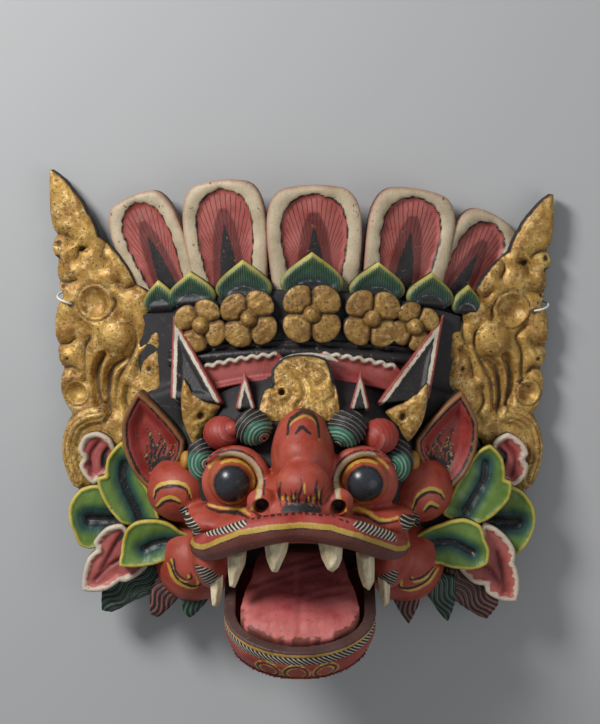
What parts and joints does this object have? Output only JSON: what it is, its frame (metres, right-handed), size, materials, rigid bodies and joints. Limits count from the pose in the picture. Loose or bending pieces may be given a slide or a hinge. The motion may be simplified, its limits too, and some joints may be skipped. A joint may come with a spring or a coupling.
{
  "type": "carved wooden barong mask",
  "caption": "Carved, painted and gilded wooden mask with a tall petal crown, side wings, a fanged open mouth and a fitted lower jaw.",
  "frame": {"origin": "middle of the back, on the surface that the mask lies on", "axes": "+X the viewer's right, +Y to the crest, +Z out of the face"},
  "size_m": [0.4002, 0.3776, 0.1818],
  "materials": {
    "painted_wood": "hand-painted in red, green, black and cream, with worn gold leaf, low sheen",
    "jaw_paint": "hand-painted red with a pink tongue and a yellow line, low sheen",
    "tooth_wood": "plain cream paint over visible grain, matt",
    "string": "thin twisted white string, matt"
  },
  "bodies": {
    "root": {"mask": "painted_wood", "lower_jaw": "jaw_paint", "fang_left": "tooth_wood", "fang_right": "tooth_wood", "canine_left": "tooth_wood", "canine_right": "tooth_wood", "tusk_left": "tooth_wood", "tusk_right": "tooth_wood", "hanging_cord": "string"}
  },
  "joints": []
}
